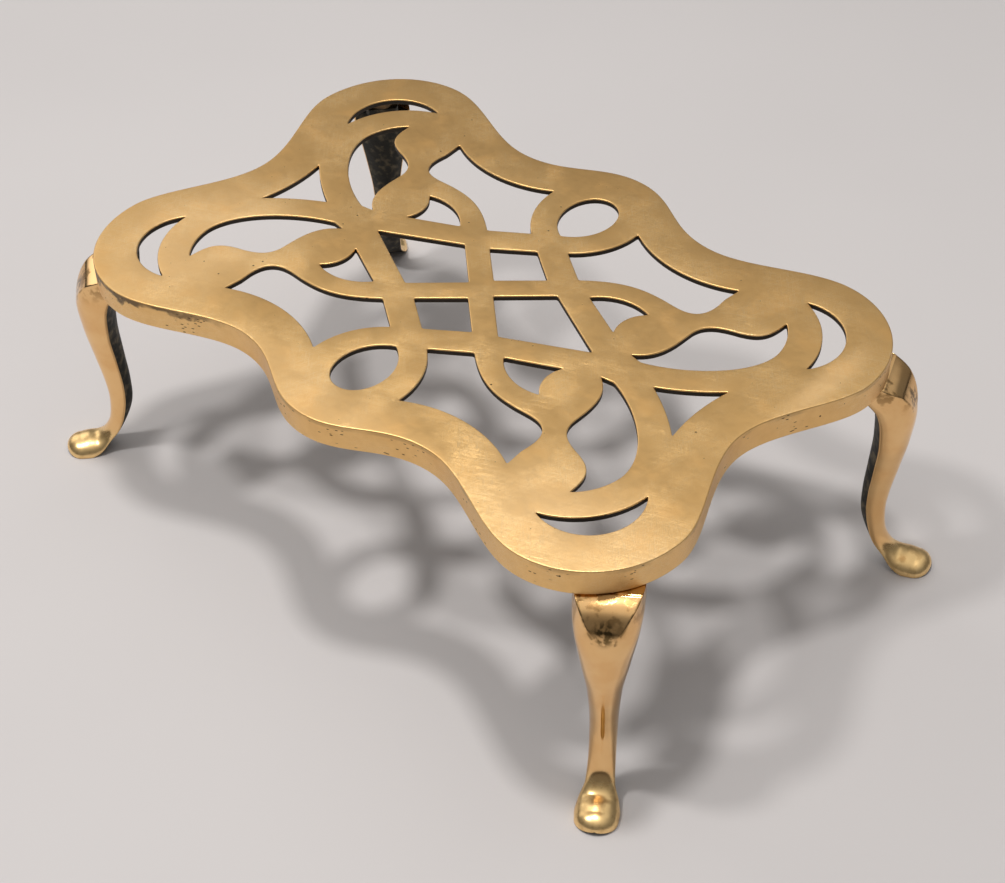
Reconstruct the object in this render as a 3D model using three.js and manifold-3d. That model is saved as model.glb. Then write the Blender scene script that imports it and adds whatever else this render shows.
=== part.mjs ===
// A footed pot stand in cast brass, in millimetres, +Z up, standing on Z = 0 with its long side along X.
// A pierced plate with a turned-down edge rests on four cabriole legs, and one slotted screw from below
// holds each leg to a boss under the plate. The plate has the same shape in all four quarters.
import * as THREE from 'three';
import { mergeVertices } from 'three/addons/utils/BufferGeometryUtils.js';
import Module from 'manifold-3d';

// The whole stand.
const PLATE_LENGTH = 339;
const PLATE_WIDTH = 225.8;
const STAND_HEIGHT = 126;
const CLEARANCE = 0.3;

// The plate's outline: a round lobe at each corner, a bulge on each long side and a waist at each end.
const LOBE_RADIUS = 49.2;
const SIDE_DIP = 19.8;
const SIDE_DIP_PLACE = 58.5;
const END_DIP = 21.2;
const LOBE_CREST_SHIFT = 2.7;
const EDGE_CHAMFER = 0.7;

// How long each curve of the outline keeps the direction it starts or ends with, as a share of its span.
const BULGE_RUN = 0.4;
const DIP_RUN_IN = 0.45;
const DIP_RUN_OUT = 0.35;
const LOBE_RUN_IN = 0.29;
const LOBE_RUN_OUT = 0.53;
const LOBE_SIDE_RUN = 0.585;
const WAIST_RUN_IN = 0.29;
const WAIST_RUN_OUT = 0.35;

// The plate's metal: the pierced web and the edge that turns down around it.
const WEB_THICKNESS = 3;
const SKIRT_DEPTH = 13;
const SKIRT_WALL = 4;

// How wide the band of metal is between the outline and the openings next to it.
const LOBE_BAND = 19.7;
const BULGE_BAND = 22.6;
const SIDE_BAND = 23;
const END_BAND = 20.9;

// The openings are drawn in real sizes for a lobe centre here, and stretch with the plate.
const DRAWN_LOBE_X = 120.3;
const DRAWN_LOBE_Y = 63.7;

// The legs: which way they point, how far out the knee, ankle and toe stand from the plate's edge,
// and how wide each is. Each leg has turned a little on its one screw, by an angle of its own.
const LEG_DIRECTION = 34;
const KNEE_OUT = 15;
const KNEE_DROP = 18;
const KNEE_DEPTH = 15;
const KNEE_SWELL = 4.7;
const KNEE_WIDTH = 29.4;
const ANKLE_OUT = 8.5;
const ANKLE_WIDTH = 12;
const ANKLE_DEPTH = 7.2;
const SHANK_SWELL = 3.9;
const ANKLE_HEIGHT = 31;
const TOE_OUT = 33.9;
const FOOT_WIDTH = 19.4;
const FOOT_HEIGHT = 6.8;
const TOE_TIP_HEIGHT = 2;
const SECTION_FULLNESS = 0.9;
const LEG_SWINGS = { front_left: 18.5, back_left: -8, back_right: -11.5, front_right: -21 };

// The fixing: a boss under the web, the flange on top of the leg and the screw through it.
const SCREW_INSET = 13;
const BOSS_RADIUS = 5.6;
const BOSS_HEIGHT = 3;
const FLANGE_THICKNESS = 4;
const FLANGE_RADIUS = 8.4;
const FLANGE_BACK = 5;
const NECK_BACK = 4.7;
const SCREW_SHANK_RADIUS = 1.9;
const SCREW_HEAD_RADIUS = 3.9;
const SCREW_HEAD_HEIGHT = 2.4;
const SCREW_EDGE = 0.5;
const SLOT_WIDTH = 1.2;
const SLOT_DEPTH = 1.1;
const SCREW_ROOF = 2;

// Facets: points on each curve of the outline, on each edge of an opening, and around the legs.
const OUTLINE_STEPS = 9;
const ARC_STEP_ANGLE = 16;
const SMOOTH_STEPS = 5;
const LEG_RINGS = 36;
const LEG_SIDES = 16;
const BACK_SIDES = 6;
const TOE_RINGS = 5;
const ROUND_SIDES = 20;

// Places that follow from the driving dimensions.
const halfLength = PLATE_LENGTH / 2;
const halfWidth = PLATE_WIDTH / 2;
const lobeX = halfLength - LOBE_RADIUS;
const lobeY = halfWidth - LOBE_RADIUS;
const dipX = SIDE_DIP_PLACE * lobeX / DRAWN_LOBE_X;
const dipY = halfWidth - SIDE_DIP;
const waistX = halfLength - END_DIP;
const webBottom = STAND_HEIGHT - WEB_THICKNESS;
const skirtBottom = STAND_HEIGHT - SKIRT_DEPTH;
const bossBottom = webBottom - BOSS_HEIGHT;
const flangeTop = bossBottom - CLEARANCE;
const flangeBottom = flangeTop - FLANGE_THICKNESS;
const headTop = flangeBottom - CLEARANCE;
const seat = skirtBottom - CLEARANCE;
const screwReach = LOBE_RADIUS - SCREW_INSET;
const quarters = [[1, 1], [-1, 1], [-1, -1], [1, -1]];

const wasm = await Module();
wasm.setup();

// Closed three.js geometry to a solid that can be cut and joined.
function toSolid(geometry) {
  const bare = geometry.clone();
  bare.deleteAttribute('normal');
  bare.deleteAttribute('uv');
  const merged = mergeVertices(bare, 1e-4);
  return new wasm.Manifold(new wasm.Mesh({
    numProp: 3,
    vertProperties: new Float32Array(merged.attributes.position.array),
    triVerts: new Uint32Array(merged.index.array),
  }));
}

// A solid back to three.js geometry.
function toGeometry(solid) {
  const { vertProperties, triVerts } = solid.getMesh();
  const geometry = new THREE.BufferGeometry();
  geometry.setAttribute('position', new THREE.BufferAttribute(vertProperties, 3));
  geometry.setIndex(new THREE.BufferAttribute(triVerts, 1));
  geometry.computeVertexNormals();
  return geometry;
}

// A flat outline raised to a prism between two heights.
function prism(points, bottom, top) {
  const geometry = new THREE.ExtrudeGeometry(new THREE.Shape(points), {
    depth: top - bottom,
    bevelEnabled: false,
  });
  return toSolid(geometry.translate(0, 0, bottom));
}

// An upright cylinder between two heights.
function cylinder(radius, bottom, top) {
  const geometry = new THREE.CylinderGeometry(radius, radius, top - bottom, ROUND_SIDES);
  return toSolid(geometry.rotateX(Math.PI / 2).translate(0, 0, (top + bottom) / 2));
}

// One quarter of the outline, from the top of the bulge round the lobe to the waist. Each curve leaves
// and arrives level or upright, so the quarters meet smoothly.
function quarterOutline() {
  const crestX = lobeX + LOBE_CREST_SHIFT;
  const span = lobeX - dipX;
  const side = halfLength - crestX;
  const path = new THREE.Path();
  path.moveTo(0, halfWidth);
  path.bezierCurveTo(BULGE_RUN * dipX, halfWidth, (1 - DIP_RUN_IN) * dipX, dipY, dipX, dipY);
  path.bezierCurveTo(
    dipX + DIP_RUN_OUT * span, dipY, lobeX - LOBE_RUN_IN * span, halfWidth, crestX, halfWidth);
  path.bezierCurveTo(
    crestX + LOBE_RUN_OUT * side, halfWidth,
    halfLength, lobeY + LOBE_SIDE_RUN * LOBE_RADIUS, halfLength, lobeY);
  path.bezierCurveTo(
    halfLength, (1 - WAIST_RUN_IN) * lobeY, waistX, WAIST_RUN_OUT * lobeY, waistX, 0);
  return path.getPoints(OUTLINE_STEPS);
}

// The whole outline, counterclockwise, moved inwards by an inset along its own normals.
function plateOutline(inset) {
  const quarter = quarterOutline();
  const ring = [];
  for (const [sx, sy] of quarters) {
    const mirrored = quarter.map((p) => new THREE.Vector2(sx * p.x, sy * p.y));
    if (sx * sy > 0) mirrored.reverse();
    ring.push(...mirrored.slice(0, -1));
  }
  return ring.map((point, i) => {
    const before = ring[(i + ring.length - 1) % ring.length];
    const after = ring[(i + 1) % ring.length];
    const along = after.clone().sub(before).normalize();
    return new THREE.Vector2(point.x - inset * along.y, point.y + inset * along.x);
  });
}

// A place on the drawn pattern, stretched with the plate.
function drawn(x, y) {
  return new THREE.Vector2(x * lobeX / DRAWN_LOBE_X, y * lobeY / DRAWN_LOBE_Y);
}

// Adds a round edge from the end of an outline to a corner. Positive rise bows it to the left of the way.
function bow(outline, corner, rise) {
  const start = outline[outline.length - 1];
  const chord = corner.clone().sub(start);
  const length = chord.length();
  const along = chord.clone().divideScalar(length);
  const left = new THREE.Vector2(-along.y, along.x);
  const radius = (length * length / 4 + rise * rise) / (2 * Math.abs(rise));
  const half = 2 * Math.atan(2 * Math.abs(rise) / length);
  const steps = Math.max(2, Math.ceil(2 * half / THREE.MathUtils.degToRad(ARC_STEP_ANGLE)));
  for (let i = 1; i <= steps; i += 1) {
    const angle = half * (2 * i / steps - 1);
    const forward = length / 2 + radius * Math.sin(angle);
    const sideways = Math.sign(rise) * radius * (Math.cos(angle) - Math.cos(half));
    outline.push(start.clone().addScaledVector(along, forward).addScaledVector(left, sideways));
  }
}

// Adds a smooth edge to a corner, steered by two handles.
function sweep(outline, handleOut, handleIn, corner) {
  const start = outline[outline.length - 1];
  const curve = new THREE.CubicBezierCurve(start, handleOut, handleIn, corner);
  outline.push(...curve.getPoints(SMOOTH_STEPS).slice(1));
}

// The crescent in each lobe. Its outer edge keeps the lobe's band.
function crescent() {
  const outline = [drawn(115.6, 90.6)];
  const tip = drawn(143.1, 53.2);
  const chord = tip.clone().sub(outline[0]);
  const middle = outline[0].clone().add(tip).multiplyScalar(0.5);
  const left = new THREE.Vector2(-chord.y, chord.x).normalize();
  const centre = new THREE.Vector2(lobeX, lobeY);
  const outer = LOBE_RADIUS - LOBE_BAND - middle.sub(centre).dot(left);
  bow(outline, tip, outer);
  bow(outline, drawn(115.6, 90.6), -7);
  return outline;
}

// The wide opening between the bulge and the lobe, with the side of a leaf along its bottom.
function sideOpening() {
  const loopCorner = drawn(26.4, 79.3);
  const lobeCorner = drawn(87.7, 77.3);
  const outline = [lobeCorner];
  const chordHeight = (loopCorner.y + lobeCorner.y) / 2;
  bow(outline, loopCorner, -(dipY - SIDE_BAND - chordHeight));
  bow(outline, drawn(11.4, 46.6), 4.4);
  outline.push(drawn(28.6, 34.6));
  sweep(outline, drawn(44, 47.6), drawn(54, 49.2), drawn(66, 49.2));
  sweep(outline, drawn(74, 49.2), drawn(87.6, 45.5), drawn(87.4, 62));
  outline.push(drawn(86.9, 68));
  return outline;
}

// The long curled opening under the lobe, whose inner side is the other edge of the leaf.
function leafOpening() {
  const tip = drawn(118, 72.5);
  const heel = drawn(80.4, 10);
  const outline = [tip];
  sweep(outline, drawn(117.8, 62.5), drawn(117, 56.6), drawn(105, 53));
  sweep(outline, drawn(95.3, 50.1), drawn(90.8, 46.4), drawn(90.8, 38));
  sweep(outline, drawn(90.8, 28.3), drawn(91.2, 16.5), heel);
  outline.push(drawn(87, 9));
  sweep(outline, drawn(106.6, 15.9), drawn(127.8, 34.4), drawn(127.8, 52));
  bow(outline, tip, -2.2);
  return outline;
}

// The small petal between the leaf and the strap below it.
function petal() {
  const outline = [drawn(40.5, 28.4)];
  outline.push(drawn(64.8, 16.6));
  bow(outline, drawn(68.6, 36.4), 3.7);
  bow(outline, drawn(40.5, 28.4), -4.7);
  return outline;
}

// The teardrop in each bulge, drawn in the half with Y above zero. Its round top keeps the bulge's band.
function teardrop() {
  const point = drawn(0, 54.4);
  const top = new THREE.Vector2(0, halfWidth - BULGE_BAND);
  const belly = drawn(19, 64.6);
  const shoulder = drawn(14.1, 0).setY(top.y);
  const mirror = (p) => new THREE.Vector2(-p.x, p.y);
  const outline = [point];
  sweep(outline, belly, shoulder, top);
  sweep(outline, mirror(shoulder), mirror(belly), point);
  return outline;
}

// The triangle at each end, drawn in the half with X above zero.
function endTriangle() {
  const inner = drawn(101.5, 0);
  const corner = new THREE.Vector2(waistX - END_BAND, drawn(0, 18.8).y);
  const mirrored = new THREE.Vector2(corner.x, -corner.y);
  const outline = [inner];
  bow(outline, mirrored, 1.1);
  bow(outline, corner, 2);
  bow(outline, inner, 1.1);
  return outline;
}

// The diamonds between the crossing straps: one on the long axis, one on the short axis.
function longDiamond() {
  return [drawn(7.7, 0), drawn(29, -19.6), drawn(67.1, 0), drawn(29, 19.6)];
}

function shortDiamond() {
  return [drawn(0, 8.6), drawn(18.1, 25), drawn(0, 38), drawn(-18.1, 25)];
}

// Every opening of the plate: the quarter's four in all quarters, the others on both sides.
function openings() {
  const all = [];
  for (const [sx, sy] of quarters) {
    for (const shape of [crescent(), sideOpening(), leafOpening(), petal()]) {
      all.push(shape.map((p) => new THREE.Vector2(sx * p.x, sy * p.y)));
    }
  }
  for (const side of [1, -1]) {
    for (const shape of [teardrop(), endTriangle(), longDiamond(), shortDiamond()]) {
      all.push(shape.map((p) => new THREE.Vector2(side * p.x, side * p.y)));
    }
  }
  return all.map((shape) => shape.filter((p, i) => {
    const before = shape[(i + shape.length - 1) % shape.length];
    return p.distanceTo(before) > 0.01;
  }));
}

// Where a leg's screw goes up into the plate, and which way the leg points, in degrees.
function legPlace(sx, sy) {
  const angle = THREE.MathUtils.degToRad(LEG_DIRECTION);
  const direction = new THREE.Vector2(sx * Math.cos(angle), sy * Math.sin(angle));
  const place = new THREE.Vector2(sx * lobeX, sy * lobeY).addScaledVector(direction, screwReach);
  return { place, heading: THREE.MathUtils.radToDeg(direction.angle()) };
}

// The plate: a slab with chamfered edges, hollowed from below to leave the web and its turned-down
// edge, with four bosses, and then pierced.
function plateGeometry() {
  const slab = new THREE.ExtrudeGeometry(new THREE.Shape(plateOutline(0)), {
    depth: SKIRT_DEPTH - 2 * EDGE_CHAMFER,
    bevelThickness: EDGE_CHAMFER,
    bevelSize: EDGE_CHAMFER,
    bevelOffset: -EDGE_CHAMFER,
    bevelSegments: 1,
  });
  let plate = toSolid(slab.translate(0, 0, skirtBottom + EDGE_CHAMFER));
  plate = plate.subtract(prism(plateOutline(SKIRT_WALL), skirtBottom - 1, webBottom));
  for (const [sx, sy] of quarters) {
    const { place } = legPlace(sx, sy);
    const boss = cylinder(BOSS_RADIUS, bossBottom, webBottom + WEB_THICKNESS / 2);
    const hole = cylinder(SCREW_SHANK_RADIUS + CLEARANCE, bossBottom - 1, STAND_HEIGHT - SCREW_ROOF);
    plate = plate.add(boss.translate([place.x, place.y, 0]));
    plate = plate.subtract(hole.translate([place.x, place.y, 0]));
  }
  for (const shape of openings()) {
    plate = plate.subtract(prism(shape, webBottom - 1, STAND_HEIGHT + 1));
  }
  return toGeometry(plate);
}

// Sections down the leg, from the seat under the plate's edge to the ball of the foot. A row holds the
// back point, the front point (both as distance out from the plate's edge, then height), the width and
// the swell of the back. The knee hangs from the seat, the shank shares out the height and the foot
// stands up from the floor.
function legStations() {
  const neckBack = NECK_BACK - SCREW_INSET;
  const kneeBack = KNEE_OUT - KNEE_DEPTH;
  const kneeHeight = seat - KNEE_DROP;
  const ankleBack = ANKLE_OUT - ANKLE_DEPTH;
  const midSwell = (KNEE_SWELL + SHANK_SWELL) / 2;
  const width = (kneeShare) => ANKLE_WIDTH + kneeShare * (KNEE_WIDTH - ANKLE_WIDTH);
  const knee = [
    [neckBack, seat, 0, seat, width(0.97), 0],
    [neckBack, seat - 5, 0.6 * KNEE_OUT, seat - 4.5, width(1), 0.1 * KNEE_SWELL],
    [kneeBack, kneeHeight + 3, KNEE_OUT, kneeHeight + 1.5, width(0.92), 0.9 * KNEE_SWELL],
  ];
  const shank = [
    [ankleBack + 1.4, 0.69 * seat, 0.97 * KNEE_OUT, 0.69 * seat, width(0.52), KNEE_SWELL],
    [ankleBack + 0.4, 0.53 * seat, 0.79 * KNEE_OUT, 0.53 * seat, width(0.18), midSwell],
    [ankleBack - 0.8, 0.37 * seat, ANKLE_OUT + 0.6, 0.37 * seat, width(0.03), SHANK_SWELL],
    [ankleBack, ANKLE_HEIGHT - 2, ANKLE_OUT, ANKLE_HEIGHT, width(0), SHANK_SWELL],
  ];
  const foot = [
    [ankleBack + 4.3, 14.2, ANKLE_OUT + 1.9, 17.3, width(0), 0.4 * SHANK_SWELL],
    [TOE_OUT - 20, 4.8, TOE_OUT - 17.2, FOOT_HEIGHT + 0.8, (ANKLE_WIDTH + FOOT_WIDTH) / 2, 0],
    [TOE_OUT - 12.3, 0, TOE_OUT - 11.2, FOOT_HEIGHT, FOOT_WIDTH, 0],
    [TOE_OUT - 7.8, 0, TOE_OUT - 7.2, FOOT_HEIGHT - 0.4, 0.98 * FOOT_WIDTH, 0],
  ];
  return [...knee, ...shank, ...foot];
}

// The leg in its own frame: X points outwards from the screw's axis. Its section is a D, rounded at the
// front and swelled a little at the back, and turns with the foot, where the back becomes the flat sole.
function legLoft() {
  const stations = legStations();
  const out = (value) => value + SCREW_INSET;
  const backs = stations.map(([x, z]) => new THREE.Vector3(out(x), 0, z));
  const fronts = stations.map(([, , x, z]) => new THREE.Vector3(out(x), 0, z));
  const spans = stations.map(([, , , , w, swell], i) => new THREE.Vector3(i, w / 2, swell));
  const backCurve = new THREE.CatmullRomCurve3(backs);
  const frontCurve = new THREE.CatmullRomCurve3(fronts);
  const spanCurve = new THREE.CatmullRomCurve3(spans);
  const sections = [];
  for (let i = 0; i <= LEG_RINGS; i += 1) {
    const t = i / LEG_RINGS;
    const back = backCurve.getPoint(t);
    back.z = Math.max(back.z, 0);
    const span = spanCurve.getPoint(t);
    sections.push([back, frontCurve.getPoint(t), span.y, Math.max(span.z, 0)]);
  }
  const [lastBack, lastFront, lastWidth] = sections[LEG_RINGS];
  const tip = new THREE.Vector3(out(TOE_OUT), 0, TOE_TIP_HEIGHT);
  for (let i = 1; i < TOE_RINGS; i += 1) {
    const angle = i / TOE_RINGS * Math.PI / 2;
    const shrink = Math.cos(angle);
    const reach = Math.sin(angle);
    const back = new THREE.Vector3(
      THREE.MathUtils.lerp(lastBack.x, tip.x, reach), 0, tip.z * (1 - shrink));
    const front = new THREE.Vector3(
      THREE.MathUtils.lerp(lastFront.x, tip.x, reach), 0, THREE.MathUtils.lerp(tip.z, lastFront.z, shrink));
    sections.push([back, front, lastWidth * shrink, 0]);
  }
  const positions = [];
  for (const [back, front, half, swell] of sections) {
    for (let k = 0; k < LEG_SIDES; k += 1) {
      const angle = Math.PI * k / (LEG_SIDES - 1);
      const depth = Math.sin(angle) ** SECTION_FULLNESS;
      const point = back.clone().lerp(front, depth);
      positions.push(point.x, half * Math.cos(angle), point.z);
    }
    for (let k = 1; k < BACK_SIDES; k += 1) {
      const side = 2 * k / BACK_SIDES - 1;
      const depth = -swell * (1 - side * side) / back.distanceTo(front);
      const point = back.clone().lerp(front, depth);
      positions.push(point.x, half * side, Math.max(point.z, 0));
    }
  }
  const rings = sections.length;
  const sides = LEG_SIDES + BACK_SIDES - 1;
  const topCentre = positions.length / 3;
  const start = backs[0].clone().lerp(fronts[0], 0.5);
  positions.push(start.x, 0, start.z);
  positions.push(tip.x, 0, tip.z);
  const index = [];
  for (let i = 0; i < rings; i += 1) {
    for (let k = 0; k < sides; k += 1) {
      const next = (k + 1) % sides;
      const a = i * sides + k;
      const b = i * sides + next;
      if (i === 0) index.push(topCentre, b, a);
      if (i === rings - 1) index.push(a, b, topCentre + 1);
      else index.push(a, b, a + sides, b, b + sides, a + sides);
    }
  }
  const geometry = new THREE.BufferGeometry();
  geometry.setAttribute('position', new THREE.Float32BufferAttribute(positions, 3));
  geometry.setIndex(index);
  return toSolid(geometry);
}

// A flat-sided disc about the screw's axis, cut off straight at a distance behind and ahead.
function disc(radius, from, bottom, top) {
  const keep = new THREE.BoxGeometry(2 * radius + from, 4 * radius, top - bottom);
  keep.translate(radius - from / 2, 0, (top + bottom) / 2);
  return cylinder(radius, bottom, top).intersect(toSolid(keep));
}

// A leg with the neck that rises inside the plate's edge and the flange that the screw goes through.
function legGeometry() {
  const flange = disc(FLANGE_RADIUS, FLANGE_BACK, flangeBottom, flangeTop);
  const neck = disc(FLANGE_RADIUS, -NECK_BACK, seat - 2, flangeTop - FLANGE_THICKNESS / 2);
  const hole = cylinder(SCREW_SHANK_RADIUS + CLEARANCE, flangeBottom - 1, flangeTop + 1);
  return toGeometry(legLoft().add(neck).add(flange).subtract(hole));
}

// A slotted cheese-head screw, pointing up, with its head's top edge rounded off.
function screwGeometry() {
  const end = STAND_HEIGHT - SCREW_ROOF - CLEARANCE;
  const headBottom = headTop - SCREW_HEAD_HEIGHT;
  const profile = [
    new THREE.Vector2(0, headBottom),
    new THREE.Vector2(SCREW_HEAD_RADIUS - SCREW_EDGE, headBottom),
    new THREE.Vector2(SCREW_HEAD_RADIUS, headBottom + SCREW_EDGE),
    new THREE.Vector2(SCREW_HEAD_RADIUS, headTop),
    new THREE.Vector2(SCREW_SHANK_RADIUS, headTop),
    new THREE.Vector2(SCREW_SHANK_RADIUS, end - SCREW_EDGE),
    new THREE.Vector2(SCREW_SHANK_RADIUS - SCREW_EDGE, end),
    new THREE.Vector2(0, end),
  ];
  const turned = new THREE.LatheGeometry(profile, ROUND_SIDES).rotateX(Math.PI / 2);
  const slot = new THREE.BoxGeometry(3 * SCREW_HEAD_RADIUS, SLOT_WIDTH, 2 * SLOT_DEPTH);
  return toGeometry(toSolid(turned).subtract(toSolid(slot.translate(0, 0, headBottom))));
}

const brass = { metalness: 1, roughness: 0.35 };
const stand = new THREE.Group();

const plate = new THREE.Mesh(
  plateGeometry(),
  new THREE.MeshStandardMaterial({ ...brass, color: 0xc9a06a }),
);
plate.name = 'top_plate';
stand.add(plate);

const legShape = legGeometry();
const screwShape = screwGeometry();
const corners = { front_left: [-1, -1], back_left: [-1, 1], back_right: [1, 1], front_right: [1, -1] };
for (const [corner, [sx, sy]] of Object.entries(corners)) {
  const { place, heading } = legPlace(sx, sy);
  const assembly = new THREE.Group();
  assembly.position.set(place.x, place.y, 0);
  assembly.rotation.z = THREE.MathUtils.degToRad(heading + LEG_SWINGS[corner]);

  const leg = new THREE.Mesh(
    legShape,
    new THREE.MeshStandardMaterial({ ...brass, roughness: 0.15, color: 0xd0a468 }),
  );
  leg.name = `leg_${corner}`;
  assembly.add(leg);

  const screw = new THREE.Mesh(
    screwShape,
    new THREE.MeshStandardMaterial({ ...brass, color: 0xb08a50 }),
  );
  screw.name = `screw_${corner}`;
  assembly.add(screw);
  stand.add(assembly);
}

// The origin is under the middle of the whole stand, so the turned leg moves the plate a little.
const box = new THREE.Box3().setFromObject(stand, true);
const middle = box.getCenter(new THREE.Vector3());
stand.position.set(-middle.x, -middle.y, 0);

export default stand;
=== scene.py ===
import bmesh
import bpy
import numpy as np
from mathutils import Matrix, Vector
from mathutils.geometry import delaunay_2d_cdt


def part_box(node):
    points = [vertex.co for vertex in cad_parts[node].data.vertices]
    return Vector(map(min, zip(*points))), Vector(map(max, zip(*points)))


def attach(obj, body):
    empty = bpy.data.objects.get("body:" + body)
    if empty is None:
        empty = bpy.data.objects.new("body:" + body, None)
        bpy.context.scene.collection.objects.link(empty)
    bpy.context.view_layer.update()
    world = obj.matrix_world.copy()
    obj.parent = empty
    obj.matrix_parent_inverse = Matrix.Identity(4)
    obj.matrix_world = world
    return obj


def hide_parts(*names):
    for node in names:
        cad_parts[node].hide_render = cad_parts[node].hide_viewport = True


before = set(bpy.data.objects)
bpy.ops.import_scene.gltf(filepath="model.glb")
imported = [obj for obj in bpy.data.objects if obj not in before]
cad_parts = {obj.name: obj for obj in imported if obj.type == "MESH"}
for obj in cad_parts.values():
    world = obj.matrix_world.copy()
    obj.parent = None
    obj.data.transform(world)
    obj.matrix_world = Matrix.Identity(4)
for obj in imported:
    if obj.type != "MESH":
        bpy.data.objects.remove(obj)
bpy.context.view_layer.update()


# The view
# A short telephoto looks down on the stand's front right corner. Its angles and its place, which
# is measured from the middle of the plate's top face, were worked out from the plate's outline.

MM = 0.001
plate_low, plate_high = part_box("top_plate")
plate_middle = np.array([(plate_low.x + plate_high.x) / 2, (plate_low.y + plate_high.y) / 2, 0])
plate_top = plate_high.z / MM

camera = bpy.data.objects.new("camera", bpy.data.cameras.new("camera"))
bpy.context.scene.collection.objects.link(camera)
camera.data.sensor_width = 36
camera.data.lens = 71.1
camera.data.clip_start, camera.data.clip_end = 0.05, 20
heading, tilt, roll = np.radians((133.645, 42.359, 1.057))
forward = np.array([np.cos(tilt) * np.cos(heading), np.cos(tilt) * np.sin(heading), -np.sin(tilt)])
level = np.array([np.sin(heading), -np.cos(heading), 0])
below = np.cross(forward, level)
right = np.cos(roll) * level + np.sin(roll) * below
down = np.cos(roll) * below - np.sin(roll) * level
place = plate_middle + np.array([0.49808, -0.50993, 0.55579 + plate_high.z])
turn = Matrix(np.column_stack([right, -down, -forward]).tolist())
camera.matrix_world = Matrix.Translation(place.tolist()) @ turn.to_4x4()
bpy.context.scene.camera = camera
bpy.context.scene.view_settings.view_transform = "Standard"


# Floor and light
# A plain pale floor under two soft lamps, one overhead and one high on the left, and a room that
# is pale above and darker around, which the metal shows back.

class Sock:
    """An output in a node tree. Sums written with it add Math nodes; node() adds any other node."""

    def __init__(self, tree, out=None):
        self.tree, self.out = tree, out

    def node(self, kind, settings, out, **sockets):
        """A new node: its settings first, then its sockets by name (or by number, as n6)."""
        made = self.tree.nodes.new("ShaderNode" + kind)
        for key, value in settings.items():
            if key == "ramp":
                spots = made.color_ramp.elements
                for k, (stop, colour) in enumerate(value):
                    spot = spots[k] if k < 2 else spots.new(stop)
                    spot.position, spot.color = stop, (*colour, 1)
            else:
                setattr(made, key, value)
        for key, value in sockets.items():
            slot = made.inputs[int(key[1:]) if key[1:].isdigit() else key.replace("_", " ")]
            if isinstance(value, Sock):
                self.tree.links.new(value.out, slot)
            else:
                slot.default_value = value
        return Sock(self.tree, made.outputs[out])

    def math(self, operation, other=0.0):
        return self.node("Math", {"operation": operation}, 0, n0=self, n1=other)

    def __add__(self, other):
        return self.math("ADD", other)

    def __sub__(self, other):
        return self.math("SUBTRACT", other)

    def __rsub__(self, other):
        return (self * -1.0).math("ADD", other)

    def __mul__(self, other):
        return self.math("MULTIPLY", other)

    __radd__, __rmul__ = __add__, __mul__

    def ramp(self, low, high):
        """0 below low, 1 above high, smooth between; low above high turns it round."""
        return self.node("MapRange", {"interpolation_type": "SMOOTHSTEP"}, 0,
                         Value=self, From_Min=low, From_Max=high)

    def mix(self, first, second):
        """A colour: first where this is 0, second where it is 1."""
        first, second = ((*c, 1) if isinstance(c, tuple) else c for c in (first, second))
        return self.node("Mix", {"data_type": "RGBA"}, 2, n0=self, n6=first, n7=second)


def new_material(name):
    """A Principled material: (material, a Sock for its tree, its shader node)."""
    material = bpy.data.materials.new(name)
    material.use_nodes = True
    return material, Sock(material.node_tree), material.node_tree.nodes["Principled BSDF"]


def feed(shader, **sockets):
    """Links or sets sockets of the shader; underscores in a name stand for spaces."""
    for key, value in sockets.items():
        slot = shader.inputs[key.replace("_", " ")]
        if isinstance(value, Sock):
            value.tree.links.new(value.out, slot)
        else:
            slot.default_value = value


floor_mesh = bpy.data.meshes.new("floor")
floor_mesh.from_pydata([(-30, -30, 0), (30, -30, 0), (30, 30, 0), (-30, 30, 0)], [], [(0, 1, 2, 3)])
floor = bpy.data.objects.new("floor", floor_mesh)
bpy.context.scene.collection.objects.link(floor)
floor_paint, tree, shader = new_material("pale_floor")
spots = tree.node("TexCoord", {}, "Object")
blotch = tree.node("TexNoise", {}, 0, Vector=spots, Scale=3.0, Detail=3.0).ramp(0.3, 0.7)
feed(shader, Base_Color=blotch.mix((0.610, 0.591, 0.601), (0.630, 0.611, 0.621)), Roughness=0.7)
feed(shader, Specular_IOR_Level=0.25)
floor.data.materials.append(floor_paint)

room = bpy.data.worlds.new("room")
bpy.context.scene.world = room
room.use_nodes = True
sky = Sock(room.node_tree)
lift = sky.node("SeparateXYZ", {}, 2, Vector=sky.node("TexCoord", {}, "Generated"))
glow = sky.node("ValToRGB", {"ramp": [
    (0.0, (0.045, 0.043, 0.042)), (0.06, (0.06, 0.058, 0.055)), (0.14, (0.16, 0.156, 0.152)),
    (0.45, (0.18, 0.176, 0.172)), (0.66, (0.29, 0.282, 0.27)), (0.80, (0.42, 0.408, 0.39)),
    (1.0, (0.86, 0.83, 0.79))]}, 0, Fac=lift)


def soft_box(way, rise, spread):
    """1 in the middle of a soft round light on the sky, 0 further from it than spread degrees."""
    way, rise = np.radians(way), np.radians(rise)
    middle = (np.cos(rise) * np.cos(way), np.cos(rise) * np.sin(way), np.sin(rise))
    near = sky.node("VectorMath", {"operation": "DOT_PRODUCT"}, 1,
                    n0=sky.node("TexCoord", {}, "Generated"), n1=middle)
    return near.ramp(np.cos(np.radians(spread)), 1.0)


glow = soft_box(172, 30, 26).mix(glow, (1.55, 1.51, 1.44))
glow = soft_box(90, 52, 26).mix(glow, (0.72, 0.70, 0.67))
room.node_tree.links.new(glow.out, room.node_tree.nodes["Background"].inputs["Color"])
room.node_tree.nodes["Background"].inputs["Strength"].default_value = 1.0

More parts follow.
